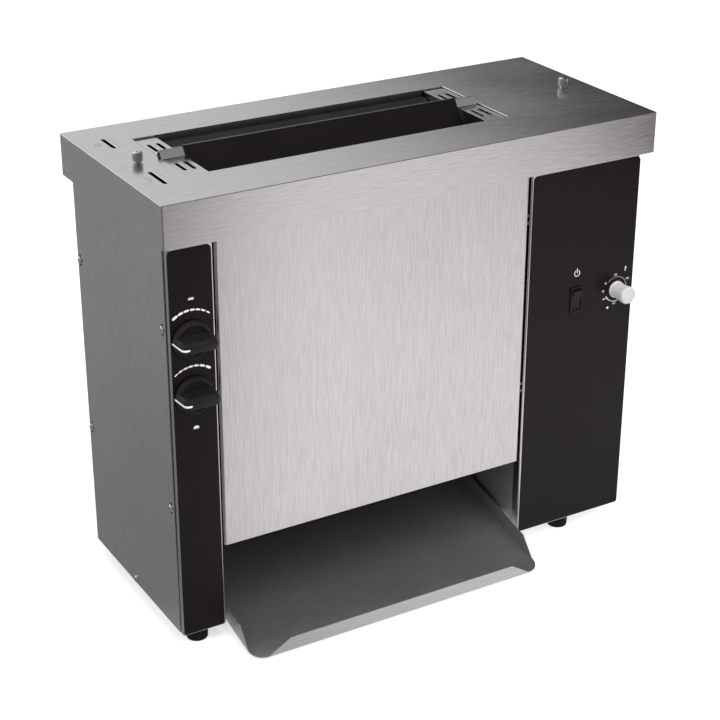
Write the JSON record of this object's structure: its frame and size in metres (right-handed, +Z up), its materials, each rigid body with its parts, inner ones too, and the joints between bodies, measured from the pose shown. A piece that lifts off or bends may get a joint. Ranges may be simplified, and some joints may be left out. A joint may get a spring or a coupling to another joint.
{
  "type": "vertical contact toaster",
  "caption": "Countertop vertical contact toaster: bun halves drop through a slotted cap, pass between belts and a heated platen, and slide out on a front tray",
  "frame": {"origin": "Centre of the bounding box on the plane of the feet", "axes": "X across the width, from the dials to the power switch; Y from the tray to the back; Z up"},
  "size_m": [0.6, 0.31, 0.529],
  "materials": {
    "brushed_steel": "brushed stainless sheet",
    "galvanised_steel": "plain sheet and machined steel",
    "polished_steel": "bright turned steel",
    "aluminium": "machined aluminium",
    "brass": "plain turned brass",
    "black_print": "satin black printed film",
    "black_plastic": "satin black moulding",
    "black_rubber": "matt black rubber",
    "conveyor_belt": "dark coated belt",
    "release_film": "dark brown coated glass cloth",
    "white_metal": "pale knurled metal",
    "circuit_board": "green circuit board"
  },
  "bodies": {
    "housing": {"base_pan": "galvanised_steel", "left_side_panel": "brushed_steel", "right_side_panel": "brushed_steel", "back_panel": "brushed_steel", "front_panel": "brushed_steel", "left_column_front": "brushed_steel", "right_column_front": "brushed_steel", "left_control_overlay": "black_print", "right_control_overlay": "black_print", "left_bulkhead": "galvanised_steel", "right_bulkhead": "galvanised_steel", "left_end_plate": "brushed_steel", "right_end_plate": "brushed_steel", "platen_front_half": "aluminium", "platen_rear_half": "aluminium", "heating_element": "galvanised_steel", "platen_sensor": "brass", "crown_left_bush": "brass", "crown_right_bush": "brass", "heel_left_bush": "brass", "heel_right_bush": "brass", "gear_motor": "aluminium", "control_board": "circuit_board", "power_inlet": "black_plastic", "switch_housing": "black_plastic", "temperature_potentiometer": "galvanised_steel", "chute_deflector": "brushed_steel", "foot_left_front": "black_rubber", "foot_left_rear": "black_rubber", "foot_right_front": "black_rubber", "foot_right_rear": "black_rubber"},
    "cap": {"top_cap": "brushed_steel"},
    "left_thumbscrew": {"cap_thumbscrew_left": "polished_steel"},
    "right_thumbscrew": {"cap_thumbscrew_right": "polished_steel"},
    "sheet_holder": {"sheet_saddle": "brushed_steel", "release_sheet": "release_film"},
    "crown_conveyor": {"crown_carriage": "galvanised_steel", "crown_belt": "conveyor_belt", "crown_pressure_plate": "aluminium", "crown_pressure_spring": "polished_steel", "crown_arm": "galvanised_steel"},
    "heel_conveyor": {"heel_carriage": "galvanised_steel", "heel_belt": "conveyor_belt", "heel_pressure_plate": "aluminium", "heel_pressure_spring": "polished_steel", "heel_arm": "galvanised_steel"},
    "crown_idler": {"crown_idler_roller": "polished_steel"},
    "heel_idler": {"heel_idler_roller": "polished_steel"},
    "crown_drive": {"crown_drive_roller": "polished_steel", "crown_drive_gear": "galvanised_steel"},
    "heel_drive": {"heel_drive_roller": "polished_steel", "heel_drive_gear": "galvanised_steel"},
    "pinion": {"motor_pinion": "polished_steel"},
    "crown_adjuster": {"crown_dial": "black_plastic", "crown_cam_shaft": "brass"},
    "heel_adjuster": {"heel_dial": "black_plastic", "heel_cam_shaft": "brass"},
    "knob": {"temperature_knob": "white_metal"},
    "rocker": {"power_rocker": "black_plastic"},
    "tray": {"tray": "brushed_steel"}
  },
  "joints": [
    {"name": "cap_lift", "type": "slide", "parent": "housing", "child": "cap", "axis": [0, 0, 1], "range_m": [0, 0.09]},
    {"name": "left_thumbscrew_turn", "type": "hinge", "parent": "cap", "child": "left_thumbscrew", "pos_m": [-0.2665, 0.0255, 0.5178], "axis": [0, 0, 1], "continuous": true},
    {"name": "right_thumbscrew_turn", "type": "hinge", "parent": "cap", "child": "right_thumbscrew", "pos_m": [0.2665, 0.0255, 0.5178], "axis": [0, 0, 1], "continuous": true},
    {"name": "sheet_lift", "type": "slide", "parent": "housing", "child": "sheet_holder", "axis": [0, 0, 1], "range_m": [0, 0.4]},
    {"name": "crown_swing", "type": "hinge", "parent": "housing", "child": "crown_conveyor", "pos_m": [-0.0498, -0.0215, 0.1725], "axis": [1, 0, 0], "range_deg": [0, 5]},
    {"name": "heel_swing", "type": "hinge", "parent": "housing", "child": "heel_conveyor", "pos_m": [-0.0498, 0.0835, 0.1725], "axis": [-1, 0, 0], "range_deg": [0, 5]},
    {"name": "crown_idler_spin", "type": "hinge", "parent": "crown_conveyor", "child": "crown_idler", "pos_m": [-0.0498, -0.0325, 0.4935], "axis": [1, 0, 0], "continuous": true},
    {"name": "heel_idler_spin", "type": "hinge", "parent": "heel_conveyor", "child": "heel_idler", "pos_m": [-0.0498, 0.0945, 0.4935], "axis": [1, 0, 0], "continuous": true},
    {"name": "crown_drive_spin", "type": "hinge", "parent": "housing", "child": "crown_drive", "pos_m": [-0.0498, -0.0215, 0.1725], "axis": [1, 0, 0], "continuous": true},
    {"name": "heel_drive_spin", "type": "hinge", "parent": "housing", "child": "heel_drive", "pos_m": [-0.0498, 0.0835, 0.1725], "axis": [1, 0, 0], "continuous": true},
    {"name": "pinion_spin", "type": "hinge", "parent": "housing", "child": "pinion", "pos_m": [0.1528, -0.0215, 0.246], "axis": [1, 0, 0], "continuous": true},
    {"name": "crown_dial_turn", "type": "hinge", "parent": "housing", "child": "crown_adjuster", "pos_m": [-0.2684, -0.0926, 0.3045], "axis": [0, 1, 0], "range_deg": [0, 150]},
    {"name": "heel_dial_turn", "type": "hinge", "parent": "housing", "child": "heel_adjuster", "pos_m": [-0.2684, -0.0926, 0.3662], "axis": [0, 1, 0], "range_deg": [0, 150]},
    {"name": "temperature_turn", "type": "hinge", "parent": "housing", "child": "knob", "pos_m": [0.268, -0.0926, 0.3077], "axis": [0, 1, 0], "range_deg": [0, 300]},
    {"name": "power_tip", "type": "hinge", "parent": "housing", "child": "rocker", "pos_m": [0.2117, -0.0886, 0.3067], "axis": [-1, 0, 0], "range_deg": [0, 16]},
    {"name": "tray_pull", "type": "slide", "parent": "housing", "child": "tray", "axis": [0, -1, 0], "range_m": [0, 0.14]}
  ],
  "couplings": [
    {"joint": "crown_drive_spin", "follows": "heel_drive_spin", "ratio": -1},
    {"joint": "heel_idler_spin", "follows": "heel_drive_spin", "ratio": 1},
    {"joint": "crown_idler_spin", "follows": "heel_drive_spin", "ratio": -1},
    {"joint": "pinion_spin", "follows": "heel_drive_spin", "ratio": 2.5},
    {"joint": "crown_dial_turn", "follows": "crown_swing", "ratio": 30},
    {"joint": "heel_dial_turn", "follows": "heel_swing", "ratio": 30}
  ]
}
